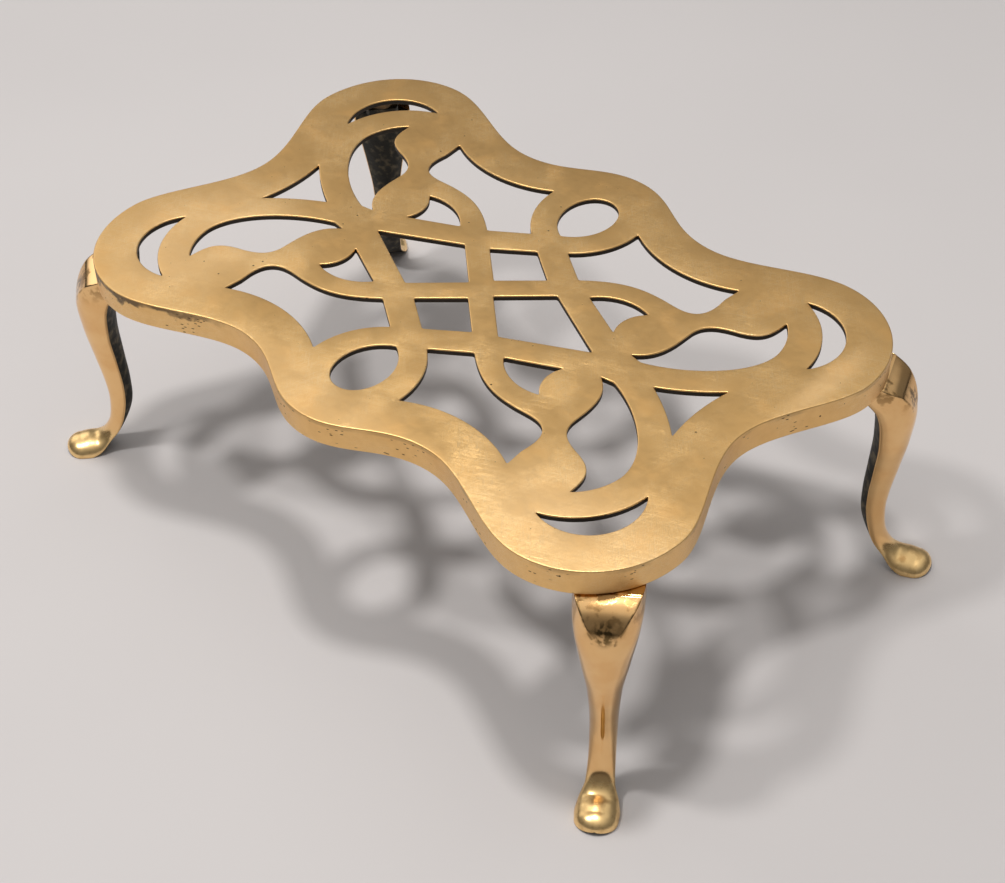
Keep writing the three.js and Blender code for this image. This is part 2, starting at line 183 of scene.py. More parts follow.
lamp_width = 0.2
for name, spot, power in (("lamp_overhead", (-0.10, 0.02, 1.75), 11.0),
                          ("lamp_left", (-0.50, -0.58, 1.60), 8.0)):
    lamp = bpy.data.objects.new(name, bpy.data.lights.new(name, "AREA"))
    bpy.context.scene.collection.objects.link(lamp)
    lamp.data.shape, lamp.data.size, lamp.data.energy = "DISK", lamp_width, power
    lamp.data.color = (1.0, 0.97, 0.93)
    lamp.location = spot
    lamp.rotation_euler = Vector(spot).to_track_quat("Z", "Y").to_euler()


# The plate
# One brass casting, filed and lapped on top: a web 3 mm thick, pierced with strapwork, and an
# edge that turns down 13 mm all round. Four round bosses under the web take the legs' screws.

lobe_radius, side_dip, dip_x, end_dip = 49.2, 19.8, 58.5, 21.2
half_length, half_width = 169.5, 112.9
lobe = np.array([half_length - lobe_radius, half_width - lobe_radius])
quarters = ((1, 1), (-1, 1), (-1, -1), (1, -1))


def cubic(start, out, back, end, steps=40):
    """A curve: (1-t)^3 start + 3(1-t)^2 t out + 3(1-t)t^2 back + t^3 end, for t from 0 to 1."""
    t = np.linspace(0, 1, steps + 1)[:, None]
    start, out, back, end = (np.asarray(p, float) for p in (start, out, back, end))
    return (1 - t)**3 * start + 3 * (1 - t)**2 * t * out + 3 * (1 - t) * t**2 * back + t**3 * end


def arc(start, end, rise, steps=30):
    """Part of a circle from start to end whose middle stands rise to the left of the straight way:
    radius = (chord^2 / 4 + rise^2) / (2 rise), turned through 4 atan(2 rise / chord)."""
    start, end = np.asarray(start, float), np.asarray(end, float)
    chord = np.linalg.norm(end - start)
    along = (end - start) / chord
    left = np.array([-along[1], along[0]])
    radius = (chord**2 / 4 + rise**2) / (2 * abs(rise))
    half = 2 * np.arctan(2 * abs(rise) / chord)
    angle = half * np.linspace(-1, 1, steps + 1)[:, None]
    bulge = np.sign(rise) * radius * (np.cos(angle) - np.cos(half))
    return start + (chord / 2 + radius * np.sin(angle)) * along + bulge * left


def closed(*edges):
    """Edges joined end to end into one outline, each a list of points; a pair is a straight edge."""
    return np.concatenate([np.asarray(edge, float)[:-1] for edge in edges])


def evened(outline, spacing, soften):
    """The outline walked at even steps, then blurred along itself by soften mm, which rounds its
    corners as a casting's are: each point is the Gauss-weighted mean of its neighbours."""
    ring = np.vstack([outline, outline[:1]])
    reach = np.concatenate([[0], np.cumsum(np.linalg.norm(np.diff(ring, axis=0), axis=1))])
    count = int(round(reach[-1] / spacing))
    walk = np.arange(count) * reach[-1] / count
    ring = np.column_stack([np.interp(walk, reach, ring[:, k]) for k in (0, 1)])
    offsets = np.arange(-6, 7)
    weights = np.exp(-0.5 * (offsets * spacing / soften)**2)
    return sum(w * np.roll(ring, -k, axis=0) for w, k in zip(weights / weights.sum(), offsets))


def plate_outline():
    """A quarter from the bulge round the lobe to the waist, in four curves, then its mirrors."""
    dip_y, waist_x = half_width - side_dip, half_length - end_dip
    crest = lobe[0] + 2.7
    span, side = lobe[0] - dip_x, half_length - crest
    quarter = closed(
        cubic((0, half_width), (0.4 * dip_x, half_width), (0.55 * dip_x, dip_y), (dip_x, dip_y)),
        cubic((dip_x, dip_y), (dip_x + 0.35 * span, dip_y),
              (lobe[0] - 0.29 * span, half_width), (crest, half_width)),
        cubic((crest, half_width), (crest + 0.53 * side, half_width),
              (half_length, lobe[1] + 0.585 * lobe_radius), (half_length, lobe[1])),
        cubic((half_length, lobe[1]), (half_length, 0.71 * lobe[1]),
              (waist_x, 0.35 * lobe[1]), (waist_x, 0)))
    quarter = np.vstack([quarter, [[waist_x, 0]]])
    parts = [quarter[::-sx * sy] * (sx, sy) for sx, sy in quarters]
    return np.concatenate([part[:-1] for part in parts])


def crescent():
    """Two arcs between the same two tips. The outer one keeps the lobe's band 19.7 mm wide."""
    start, tip = np.array([115.6, 90.6]), np.array([143.1, 53.2])
    chord = tip - start
    left = np.array([-chord[1], chord[0]]) / np.linalg.norm(chord)
    rise = lobe_radius - 19.7 - ((start + tip) / 2 - lobe) @ left
    return closed(arc(start, tip, rise), arc(tip, start, -7))


def side_opening():
    """The wide opening beside the bulge; its lower edge is the upper side of a leaf."""
    rise = -(half_width - side_dip - 23 - (79.3 + 77.3) / 2)
    return closed(
        arc((87.7, 77.3), (26.4, 79.3), rise), arc((26.4, 79.3), (11.4, 46.6), 4.4),
        [(11.4, 46.6), (28.6, 34.6)], cubic((28.6, 34.6), (44, 47.6), (54, 49.2), (66, 49.2)),
        cubic((66, 49.2), (74, 49.2), (87.6, 45.5), (87.4, 62)),
        [(87.4, 62), (86.9, 68)], [(86.9, 68), (87.7, 77.3)])


def leaf_opening():
    """The long curled opening under the lobe; its inner side is the leaf's other edge."""
    return closed(
        cubic((118, 72.5), (117.8, 62.5), (117, 56.6), (105, 53)),
        cubic((105, 53), (95.3, 50.1), (90.8, 46.4), (90.8, 38)),
        cubic((90.8, 38), (90.8, 28.3), (91.2, 16.5), (80.4, 10)), [(80.4, 10), (87, 9)],
        cubic((87, 9), (106.6, 15.9), (127.8, 34.4), (127.8, 52)),
        arc((127.8, 52), (118, 72.5), -2.2))


def petal():
    """The small petal between the leaf and the strap below it: a straight edge and two arcs."""
    return closed([(40.5, 28.4), (64.8, 16.6)], arc((64.8, 16.6), (68.6, 36.4), 3.7),
                  arc((68.6, 36.4), (40.5, 28.4), -4.7))


def teardrop():
    """Two mirrored curves from the point to the round top, which keeps the bulge's band."""
    top = half_width - 22.6
    return closed(cubic((0, 54.4), (19, 64.6), (14.1, top), (0, top)),
                  cubic((0, top), (-14.1, top), (-19, 64.6), (0, 54.4)))


def end_triangle():
    """Three slightly bowed edges; the outer one keeps the waist's band."""
    outer = half_length - end_dip - 20.9
    return closed(arc((101.5, 0), (outer, -18.8), 1.1), arc((outer, -18.8), (outer, 18.8), 2),
                  arc((outer, 18.8), (101.5, 0), 1.1))


def diamond(*corners):
    """Straight edges between the crossing straps."""
    return closed(*zip(corners, corners[1:] + corners[:1]))


def counterclockwise(ring):
    """The ring, turned round if its signed area, half the sum of x dy - y dx, is negative."""
    x, y = ring.T
    return ring if (x * np.roll(y, -1) - y * np.roll(x, -1)).sum() > 0 else ring[::-1]


openings = [shape * (sx, sy) for shape in (crescent(), side_opening(), leaf_opening(), petal())
            for sx, sy in quarters]
openings += [shape * side for shape in (
    teardrop(), end_triangle(), diamond((7.7, 0), (29, -19.6), (67.1, 0), (29, 19.6)),
    diamond((0, 8.6), (18.1, 25), (0, 38), (-18.1, 25))) for side in (1, -1)]


def arris(radius, corner, turn_from, turn_to, steps=4):
    """A quarter round: corner + radius (cos a, sin a), for a between two angles in degrees."""
    angle = np.radians(np.linspace(turn_from, turn_to, steps + 1))
    return np.column_stack([corner[0] + radius * np.cos(angle), corner[1] + radius * np.sin(angle)])


def carried(ring, profile, metal_left):
    """A profile of (depth into the metal, height) carried round a ring: each point is
    ring + depth * normal, with the normal turned to the metal. Returns points and faces."""
    tangent = np.roll(ring, -1, axis=0) - np.roll(ring, 1, axis=0)
    tangent /= np.linalg.norm(tangent, axis=1)[:, None]
    normal = np.column_stack([-tangent[:, 1], tangent[:, 0]]) * (1 if metal_left else -1)
    n, m = len(ring), len(profile)
    flat = ring[:, None, :] + profile[None, :, :1] * normal[:, None, :]
    height = np.broadcast_to(profile[None, :, 1:], (n, m, 1))
    points = np.concatenate([flat, height], axis=2).reshape(-1, 3)
    i, j = np.meshgrid(np.arange(n), np.arange(m - 1), indexing="ij")
    a, b = i * m + j, (i + 1) % n * m + j
    faces = np.stack([a, b, b + 1, a + 1], axis=2).reshape(-1, 4)
    return points, faces[:, ::-1] if metal_left else faces


def within(points, ring):
    """Whether each point is inside the ring: an odd number of edges crosses the ray to its right."""
    a, b = ring, np.roll(ring, -1, axis=0)
    x, y = points[:, :1], points[:, 1:]
    spans = (a[:, 1] > y) != (b[:, 1] > y)
    cut = a[:, 0] + (y - a[:, 1]) * (b[:, 0] - a[:, 0]) / np.where(b[:, 1] == a[:, 1], 1, b[:, 1] - a[:, 1])
    return (spans & (x < cut)).sum(axis=1) % 2 == 1


def flat_face(points, rings, loose, up):
    """Triangles that fill the first ring of point numbers but not the others, by a Delaunay
    triangulation that keeps every ring's edges and takes in the loose points; all are turned to face
    up, or down."""
    numbers = np.concatenate([*rings, loose]).astype(int)
    spots = points[numbers, :2]
    owner = np.repeat(np.arange(len(rings) + 1), [*(len(ring) for ring in rings), len(loose)])
    begins = np.cumsum([0] + [len(ring) for ring in rings])
    edges = np.concatenate([np.column_stack([np.arange(len(ring)), np.roll(np.arange(len(ring)), -1)])
                            + begin for ring, begin in zip(rings, begins)])
    _, _, faces, first, _, _ = delaunay_2d_cdt(
        [Vector(spot) for spot in spots], edges.tolist(), [], 1, 1e-7)
    faces = np.array([which[0] for which in first])[np.array(faces)]
    centres = spots[faces].mean(axis=1)
    keep = within(centres, spots[owner == 0])
    for k in range(1, len(rings)):
        near = keep & (owner[faces] == k).all(axis=1)
        keep[near] = ~within(centres[near], spots[owner == k])
    a, b, c = spots[faces[keep]].transpose(1, 0, 2)
    turned = (b - a)[:, 0] * (c - a)[:, 1] - (b - a)[:, 1] * (c - a)[:, 0] > 0
    faces = numbers[faces[keep]]
    return np.where((turned == up)[:, None], faces, faces[:, ::-1])


def shell(walls, top, bottom, loose=np.zeros((0, 3))):
    """A closed shell of walls and two flat faces. A wall is (ring, profile, metal_left), and top and
    bottom list (wall, row of its profile) for the rings round that face, the outermost first. The
    loose points lie in the top face, between its rings."""
    parts = [carried(*wall) for wall in walls]
    begins = np.cumsum([0] + [len(points) for points, _ in parts])
    points = np.concatenate([*(points for points, _ in parts), loose])
    faces = [face for (_, some), begin in zip(parts, begins) for face in (some + begin).tolist()]
    for bounds, up in ((top, True), (bottom, False)):
        rings = []
        for wall, row in bounds:
            ring, profile, _ = walls[wall]
            rings.append(begins[wall] + row % len(profile) + len(profile) * np.arange(len(ring)))
        inner = np.arange(begins[-1], len(points)) if up else []
        faces += flat_face(points, rings, inner, up).tolist()
    return points, faces


def piece(name, shells, node, slot, paint, **shares):
    """A closed piece in place of a CAD node, from shells of (points in mm, faces); points that meet
    are welded, and its corners are shaded from the larger faces beside them. Each share, such as
    as_cast, is an attribute for the material, from 0 to 1 at each point."""
    points, faces = [], []
    for some_points, some_faces in shells:
        base = sum(map(len, points))
        faces += [[k + base for k in face] for face in some_faces]
        points.append(some_points)
    mesh = bpy.data.meshes.new(name)
    mesh.from_pydata((np.concatenate(points) * MM).tolist(), [], faces)
    made = bpy.data.objects.new(name, mesh)
    bpy.context.scene.collection.objects.link(made)
    mesh.materials.append(paint)
    for share, values in shares.items():
        mesh.attributes.new(share, "FLOAT", "POINT").data.foreach_set("value", values)
    work = bmesh.new()
    work.from_mesh(mesh)
    bmesh.ops.remove_doubles(work, verts=work.verts, dist=1e-6)
    work.to_mesh(mesh)
    work.free()
    mesh.shade_smooth()
    made.modifiers.new("even_shading", "WEIGHTED_NORMAL").mode = "FACE_AREA"
    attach(made, "root")
    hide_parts(node)
    return made


# The rim runs over the arris and down the outside, under the edge and up the inside to the web.
rim_ring = evened(counterclockwise(plate_outline()), 1.2, 1.0)
web_low, rim_low = plate_top - 3, plate_top - 13
rim_profile = np.vstack([
    arris(0.6, (0.6, plate_top - 0.6), 90, 180),
    np.column_stack([np.zeros(5), np.linspace(plate_top - 2, rim_low + 1.6, 5)]),
    arris(0.5, (0.5, rim_low + 0.5), 180, 270), arris(0.5, (3.5, rim_low + 0.5), 270, 360),
    [(4, rim_low + 4)], arris(1.4, (5.4, web_low - 1.4), 180, 90)])

# Each opening's wall runs from a soft top arris to a smaller one under the web.
hole_profile = np.vstack([
    arris(0.45, (0.45, plate_top - 0.45), 90, 180), [(0, plate_top - 0.75), (0, plate_top - 1.6)],
    arris(0.3, (0.3, web_low + 0.3), 180, 270, 3)])
holes = [(evened(counterclockwise(shape), 0.7, 0.55), hole_profile, False) for shape in openings]

# A boss swells from the web to its turned face, and its blind hole stops 2 mm below the top.
screw_reach, leg_way = lobe_radius - 13, np.radians(34)
screws = {name: (lobe + screw_reach * np.array([np.cos(leg_way), np.sin(leg_way)])) * sign
          for name, sign in (("front_left", (-1, -1)), ("back_left", (-1, 1)),
                             ("back_right", (1, 1)), ("front_right", (1, -1)))}
boss_low, hole_end = web_low - 3, plate_top - 2
boss_radius, bore_radius = 5.6, 2.2
boss_wall = boss_radius - bore_radius
boss_profile = np.vstack([
    arris(0.5, (-0.5, web_low - 0.5), 90, 0), arris(0.4, (0.4, boss_low + 0.4), 180, 270),
    [(boss_wall - 0.2, boss_low), (boss_wall, boss_low + 0.2), (boss_wall, hole_end),
     (boss_radius, hole_end)]])


def round_ring(radius, points=48):
    """Points round a circle about the origin, counterclockwise: radius (cos a, sin a)."""
    angle = np.linspace(0, 2 * np.pi, points, endpoint=False)
    return radius * np.column_stack([np.cos(angle), np.sin(angle)])


def nearest(points, rings):
    """How far each point is from the nearest point of any ring: the least of all the distances."""
    return np.min([np.hypot(*(points[:, None, :2] - ring[None]).transpose(2, 0, 1)).min(axis=1)
                   for ring in rings], axis=0)


def top_points(spacing=2.6):
    """A triangular lattice over the plate, where it is inside the rim and outside every opening."""
    x, y = np.meshgrid(np.arange(-half_length, half_length, spacing),
                       np.arange(-half_width, half_width, spacing * 0.866))
    x[1::2] += spacing / 2
    lattice = np.column_stack([x.ravel(), y.ravel()])
    lattice = lattice[within(lattice, rim_ring)]
    lattice = lattice[nearest(lattice, [rim_ring, *hole_rings]) > 1.5]
    lattice = lattice[~np.any([within(lattice, ring) for ring in hole_rings], axis=0)]
    return np.column_stack([lattice, np.full(len(lattice), plate_top)])


bosses = [(centre + round_ring(boss_radius), boss_profile, True) for centre in screws.values()]
hole_rings = [ring for ring, _, _ in holes]
plate_points, plate_faces = shell(
    [(rim_ring, rim_profile, True), *holes, *bosses],
    [(wall, 0) for wall in range(1 + len(holes))],
    [(wall, -1) for wall in range(1 + len(holes))]
    + [(1 + len(holes) + k, 0) for k in range(len(bosses))], top_points())

# Lapping has eased the face off towards the rim by 0.3 (1 - distance / 14)^2, and each strap
# towards its own edges by 0.13 (1 - distance / 7)^2.
upper = plate_points[:, 2] > plate_top - 1.7
from_rim = nearest(plate_points[upper], [rim_ring])
from_hole = nearest(plate_points[upper], hole_rings)
plate_points[upper, 2] -= (0.3 * np.maximum(1 - from_rim / 14, 0)**2
                           + 0.13 * np.maximum(1 - from_hole / 7, 0)**2)

# The file and the lap reached the first rows of each profile, over the arrises and down the
# outside. The openings' walls, the hollow and the bosses are left as cast.
rim_filed, hole_filed = 17, 5
rim_raw = np.where(np.arange(len(rim_profile)) < rim_filed, 0.0, 1.0)
hole_raw = np.where(np.arange(len(hole_profile)) < hole_filed, 0.0, 1.0)
plate_raw = np.concatenate([
    np.tile(rim_raw, len(rim_ring)), *(np.tile(hole_raw, len(ring)) for ring in hole_rings),
    *(np.ones(len(ring) * len(profile)) for ring, profile, _ in bosses)])
plate_raw = np.append(plate_raw, np.zeros(len(plate_points) - len(plate_raw)))
plate_points[:, :2] += plate_middle[:2] / MM


def scratches(tree, spots, direction, length, width):
    """1 along hair-thin scratches: a noise stretched in one direction, where it crosses its middle."""
    drawn = tree.node("Mapping", {"vector_type": "TEXTURE"}, 0, Vector=spots,
                      Rotation=(0, 0, np.radians(direction)), Scale=(length, width, width))
    wave = tree.node("TexNoise", {}, 0, Vector=drawn, Scale=1.0, Detail=2.0) - 0.5
    return wave.math("ABSOLUTE").ramp(0.022, 0.0)


def patches(tree, spots, size, low, high, detail=3.0):
    """A soft blotchy mask of about that size in metres: 0 where the noise is low, 1 where it is high."""
    return tree.node("TexNoise", {}, 0, Vector=spots, Scale=1 / size, Detail=detail).ramp(low, high)


def pits(tree, spots, apart, radius):
    """1 inside small round pits, one for each cell of a Voronoi pattern."""
    return tree.node("TexVoronoi", {}, "Distance", Vector=spots, Scale=1 / apart).ramp(
        radius / apart, 0.45 * radius / apart)


def soft_spot(tree, spots, x, y, half_x, half_y):
    """1 in the middle of an oval on the plate, 0 outside it: its place and half sizes are in mm."""
    placed = tree.node("Mapping", {"vector_type": "TEXTURE"}, 0, Vector=spots,
                       Location=(x * MM, y * MM, plate_high.z),
                       Scale=(half_x * MM, half_y * MM, 0.1))
    return tree.node("VectorMath", {"operation": "LENGTH"}, 1, n0=placed).ramp(1.0, 0.15)


lapped_brass, tree, shader = new_material("lapped_brass")
spots = tree.node("TexCoord", {}, "Object")
across = tree.node("SeparateXYZ", {}, 0, Vector=spots)
height = tree.node("SeparateXYZ", {}, 2, Vector=spots)
facing = tree.node("SeparateXYZ", {}, 2, Vector=tree.node("NewGeometry", {}, "Normal"))
raw = tree.node("Attribute", {"attribute_name": "as_cast"}, "Fac").ramp(0.3, 0.8)
on_top = facing.ramp(0.8, 0.97)

# Dirt lies in a line under the arris, and hangs down in patches towards the left end. Short level
# dashes are casting pits, drawn out along the edge.
grimy_side = across.ramp(-50 * MM, -110 * MM)
sagging = height + patches(tree, spots, 0.010, 0.40, 0.72, 5.0) * grimy_side * 5.5 * MM
dirt_line = (sagging.ramp(plate_high.z - 3.0 * MM, plate_high.z - 1.7 * MM)
             * height.ramp(plate_high.z - 0.5 * MM, plate_high.z - 1.0 * MM)
             * (patches(tree, spots, 0.022, 0.42, 0.60, 4.0) + grimy_side * 0.25).math("MINIMUM", 1.0)
             * (0.3 + 0.7 * grimy_side))
flattened = tree.node("Mapping", {"vector_type": "TEXTURE"}, 0, Vector=spots,
                      Scale=(1.6 * MM, 1.6 * MM, 0.5 * MM))
dashes = (tree.node("TexVoronoi", {}, "Distance", Vector=flattened, Scale=0.38).ramp(0.22, 0.13)
          * patches(tree, spots, 0.022, 0.50, 0.56) * facing.ramp(0.5, 0.2))

# The top has broad worn patches, stains, a fine grain, scratches from the lap and small pits.
worn = patches(tree, spots, 0.06, 0.3, 0.7, 4.0)
stain = patches(tree, spots, 0.016, 0.50, 0.72, 5.0)
mottle = patches(tree, spots, 0.0035, 0.3, 0.7, 4.0)
grain = tree.node("TexNoise", {}, 0, Vector=spots, Scale=2200.0, Detail=2.0)
drawn = scratches(tree, spots, 24, 0.03, 0.0007)
drawn = drawn.math("MAXIMUM", scratches(tree, spots, 71, 0.02, 0.0006))
drawn = drawn.math("MAXIMUM", scratches(tree, spots, -48, 0.016, 0.0008))
drawn = drawn * patches(tree, spots, 0.03, 0.35, 0.65)
nicks = pits(tree, spots, 0.013, 0.00062) * patches(tree, spots, 0.05, 0.44, 0.50)
pitted = nicks.math("MAXIMUM", pits(tree, spots, 0.0045, 0.0003) * patches(tree, spots, 0.02, 0.52, 0.58))
pitted = pitted.math("MAXIMUM", dashes)

# Both ends and the front are rougher and paler: partly scuffed wear, partly a painted sheen where they
# catch more light.
scuffs_and_sheen = soft_spot(tree, spots, -128, -58, 62, 74)
scuffs_and_sheen = scuffs_and_sheen.math("MAXIMUM", soft_spot(tree, spots, 152, 52, 10, 48))
scuffs_and_sheen = scuffs_and_sheen.math("MAXIMUM", soft_spot(tree, spots, 128, -84, 74, 46))
scuffs_and_sheen = scuffs_and_sheen.math("MAXIMUM", soft_spot(tree, spots, -10, -98, 90, 26) * 0.6)
scuffs_and_sheen = scuffs_and_sheen * (0.65 + 0.35 * worn) * on_top
metal = worn.mix((0.86, 0.54, 0.215), (0.90, 0.58, 0.24))
# Paler there: scuffs, and a painted sheen.
metal = (scuffs_and_sheen * 0.7).mix(metal, (0.98, 0.69, 0.36))
metal = (stain * 0.30).mix(metal, (0.74, 0.43, 0.15))
metal = (mottle * 0.2).mix(metal, (0.70, 0.43, 0.17))
metal = (drawn * 0.45).mix(metal, (0.99, 0.78, 0.47))
metal = (dirt_line * 0.85).mix(metal, (0.08, 0.05, 0.025))
metal = pitted.mix(metal, (0.07, 0.045, 0.025))

# The casting skin is brown in the hollow. The openings' walls are nearly black: partly their dark cast
# skin, partly painted shade inside the openings.
shaded_wall = height.ramp(plate_high.z - 3.1 * MM, plate_high.z - 2.6 * MM)
casting = patches(tree, spots, 0.006, 0.35, 0.7, 6.0).mix((0.10, 0.065, 0.035), (0.32, 0.20, 0.09))
# Painted shade, with the cast skin, on the openings' walls.
casting = shaded_wall.mix(casting, (0.030, 0.021, 0.012))
feed(shader, Base_Color=raw.mix(metal, casting), Metallic=1 - 0.6 * raw - 0.4 * dirt_line,
     Roughness=(0.36 + 0.10 * scuffs_and_sheen + 0.06 * stain + 0.04 * mottle - 0.04 * drawn + 0.2 * pitted
                + 0.3 * raw),
     Normal=tree.node("Bump", {}, 0, Strength=0.35, Distance=0.00012,
                      Height=grain * (0.3 + 1.4 * raw) - drawn * 0.55 - pitted * 1.8 + mottle * 0.3
                      + tree.node("TexNoise", {}, 0, Vector=spots, Scale=24.0, Detail=2.0) * 14.0
                      + patches(tree, spots, 0.004, 0.2, 0.8, 4.0) * raw * 2.0))
piece("plate", [(plate_points, plate_faces)], "top_plate", "plate_brass", lapped_brass, as_cast=plate_raw)


# The legs
# Four brass castings from one pattern: a broad knee with a flat facet, a slim shank and a rounded
# foot, polished in front and left as cast behind. A flange in the plate's hollow takes the screw.

seat, screw_in = rim_low - 0.3, 13.0
knee_out, ankle_back, ankle_out, toe_out, foot_high = 15.0, 1.3, 8.5, 33.9, 7.3
leg_headings = {"front_left": 232.5, "back_left": 138, "back_right": 22.5, "front_right": -55}
leg_stations = np.array([  # back out, back height, front out, front height, width, swell of the back
    (-8.3, seat, 0, seat, 28.88, 0), (-8.3, seat - 5, 0.6 * knee_out, seat - 4.5, 29.4, 0.47),
    (0, seat - 15, knee_out, seat - 16.5, 28.01, 4.23),
    (ankle_back + 1.4, 0.69 * seat, 0.97 * knee_out, 0.69 * seat, 21.05, 4.7),
    (ankle_back + 0.4, 0.53 * seat, 0.79 * knee_out, 0.53 * seat, 15.13, 4.3),
    (ankle_back - 0.8, 0.37 * seat, ankle_out + 0.6, 0.37 * seat, 12.52, 3.9),
    (ankle_back, 29, ankle_out, 31, 12, 3.9),
    (ankle_back + 4.3, 14.2, ankle_out + 1.9, 17.3, 12, 1.56),
    (11.2, 7.2, 14.4, 10.2, 12.9, 0.5), (16.4, 2.2, 18.0, foot_high + 0.2, 17.4, 0),
    (21.6, 0, 22.7, foot_high + 0.2, 19.5, 0), (26.1, 0, 26.7, foot_high - 0.5, 19.0, 0)])


def through(stations, steps=14):
    """A centripetal Catmull-Rom curve through the stations: on each span a cubic whose end slopes
    come from the neighbouring spans, each weighed by the square root of its length."""
    ends = np.vstack([2 * stations[0] - stations[1], stations, 2 * stations[-1] - stations[-2]])
    gap = np.linalg.norm(np.diff(ends, axis=0), axis=1)**0.5
    p0, p1, p2, p3 = ends[:-3], ends[1:-2], ends[2:-1], ends[3:]
    d0, d1, d2 = (g[:, None] for g in (gap[:-2], gap[1:-1], gap[2:]))
    slope_in = ((p1 - p0) / d0 - (p2 - p0) / (d0 + d1) + (p2 - p1) / d1) * d1
    slope_out = ((p2 - p1) / d1 - (p3 - p1) / (d1 + d2) + (p3 - p2) / d2) * d1
    t = (np.arange(steps) / steps)[None, :, None]
    p1, p2, m1, m2 = (a[:, None, :] for a in (p1, p2, slope_in, slope_out))
    curve = (p1 + m1 * t + (3 * (p2 - p1) - 2 * m1 - m2) * t**2 + (2 * (p1 - p2) + m1 + m2) * t**3)
    return np.vstack([curve.reshape(-1, stations.shape[1]), stations[-1:]])


def leg_sections():
    """The leg's back line, front line, half width and swell, down to the foot, and then the toe, where
    they draw in to its tip as a quarter of an ellipse: along by sin a, across by cos a."""
    back, front = through(leg_stations[:, :2]), through(leg_stations[:, 2:4])
    span = through(np.column_stack([np.arange(len(leg_stations)), leg_stations[:, 4:] / (2, 1)]))
    back[:, 1] = np.maximum(back[:, 1], 0)
    a = np.linspace(0, np.pi / 2, 13)[1:, None]
    tip = np.array([toe_out, 2])
    toe_back = np.hstack([back[-1, 0] + (tip[0] - back[-1, 0]) * np.sin(a), 2 * (1 - np.cos(a))])
    toe_front = np.hstack([front[-1, 0] + (tip[0] - front[-1, 0]) * np.sin(a),
                           2 + (front[-1, 1] - 2) * np.cos(a)])
    half = np.concatenate([span[:, 1], span[-1, 1] * np.cos(a[:, 0])])
    swell = np.concatenate([np.maximum(span[:, 2], 0), np.zeros(len(a))])
    return np.vstack([back, toe_back]), np.vstack([front, toe_front]), half, swell


front_columns, back_columns, arris_column = 53, 25, 14


def leg_loft():
    """The D-shaped sections joined into a skin. In front, at the angle a, the side is half cos a and
    the share of the depth is sin a to the power 0.9. Behind, the back stands swell (1 - side^2) proud.
    Above the knee the D keeps the knee's reach, and the filed facet, straight across at the front
    line, cuts it off; a column of points runs down each of their two arrises. Each ring is then
    blurred a little along itself, which breaks the arrises. The last two values are, for each
    point, 1 on the back and 0 in front, and how near the facet's lower tip or arrises it is."""
    back, front, half, swell = leg_sections()
    knee = np.argmax(front[:, 0] > 0.99 * knee_out)
    uncut = front.copy()
    uncut[:knee, 0] = knee_out

    # Columns are spread by the way round the section, 0 at one side and 1 at the other, with the
    # width weighed 0.65. The arrises take arris_share of that way, up to the facet's blunt tip, and
    # below it the columns ease back to even spacing over 40 rings.
    fine = np.linspace(0, np.pi, 2001)
    reach = np.concatenate([[0], np.cumsum(np.hypot(np.diff(0.65 * np.cos(fine)),
                                                    np.diff(np.sin(fine)**0.9)))])
    reach /= reach[-1]
    cut = (front - back)[:knee, 0] / (uncut - back)[:knee, 0]
    below_knee = np.clip(np.arange(1, len(front) - knee + 1) / 40, 0, 1)
    tip_share, even_share = 0.42, 0.27
    arris_share = np.concatenate([
        np.minimum(np.interp(np.arcsin(cut**(1 / 0.9)), fine, reach), tip_share),
        tip_share - (tip_share - even_share) * below_knee**2 * (3 - 2 * below_knee)])[:, None]
    column = np.minimum(np.arange(front_columns), np.arange(front_columns)[::-1])
    middle_column = front_columns // 2
    share = np.where(column <= arris_column, column / arris_column * arris_share, arris_share
                     + (column - arris_column) / (middle_column - arris_column) * (0.5 - arris_share))
    share[:, middle_column:] = 1 - share[:, middle_column::-1]
    a = np.interp(share, reach, fine)
    side = np.hstack([np.cos(a), np.tile(np.linspace(-1, 1, back_columns + 2)[1:-1], (len(a), 1))])
    behind = np.concatenate([np.zeros(front_columns), np.ones(back_columns)])

    # The skin, with its top edge rounded down into a lid.
    proud = swell[:, None] / np.maximum(np.linalg.norm(front - back, axis=1), 1e-6)[:, None]
    depth = (np.hstack([np.abs(np.sin(a))**0.9, np.zeros((len(a), back_columns))])
             - behind * proud * (1 - side**2))
    line = back[:, None, :] + (uncut - back)[:, None, :] * depth[..., None]
    line[..., 0] = np.minimum(line[..., 0], front[:, :1])
    line[..., 1] = np.maximum(line[..., 1], 0)
    skin = np.stack([line[..., 0] + screw_in, half[:, None] * side, line[..., 1]], axis=2)
    skin = 0.7 * skin + 0.15 * np.roll(skin, 1, axis=1) + 0.15 * np.roll(skin, -1, axis=1)
    middle = skin[0].mean(axis=0)
    lid = middle + (skin[0] - middle) * (0.96, 0.96, 1)
    edge_drop = 0.45
    skin[0, :, 2] -= edge_drop
    skin = np.concatenate([lid[None], skin])
    rings, count = skin.shape[:2]
    i, k = np.meshgrid(np.arange(rings - 1), np.arange(count), indexing="ij")
    a, b = i * count + k, i * count + (k + 1) % count
    faces = np.stack([a, b, b + count, a + count], axis=2).reshape(-1, 4).tolist()
    skin = skin.reshape(-1, 3)
    behind = np.tile(behind, rings)
    near_tip = np.exp(-(skin[:, 1] / 4.5)**2 - ((skin[:, 2] - seat + 11) / 5)**2) * (1 - behind)
    # Above the knee the points beside the facet's arrises take half, for a painted dark reflection along
    # them.
    last = front_columns - 1
    arris_columns = (arris_column, arris_column + 1, last - arris_column - 1, last - arris_column)
    beside = np.isin(np.arange(count), arris_columns) * np.ones((rings, 1))
    beside[knee + 1:] = 0
    near_tip = np.maximum(near_tip, 0.5 * beside.ravel())
    return skin, faces + [list(range(count))[::-1]], behind, near_tip


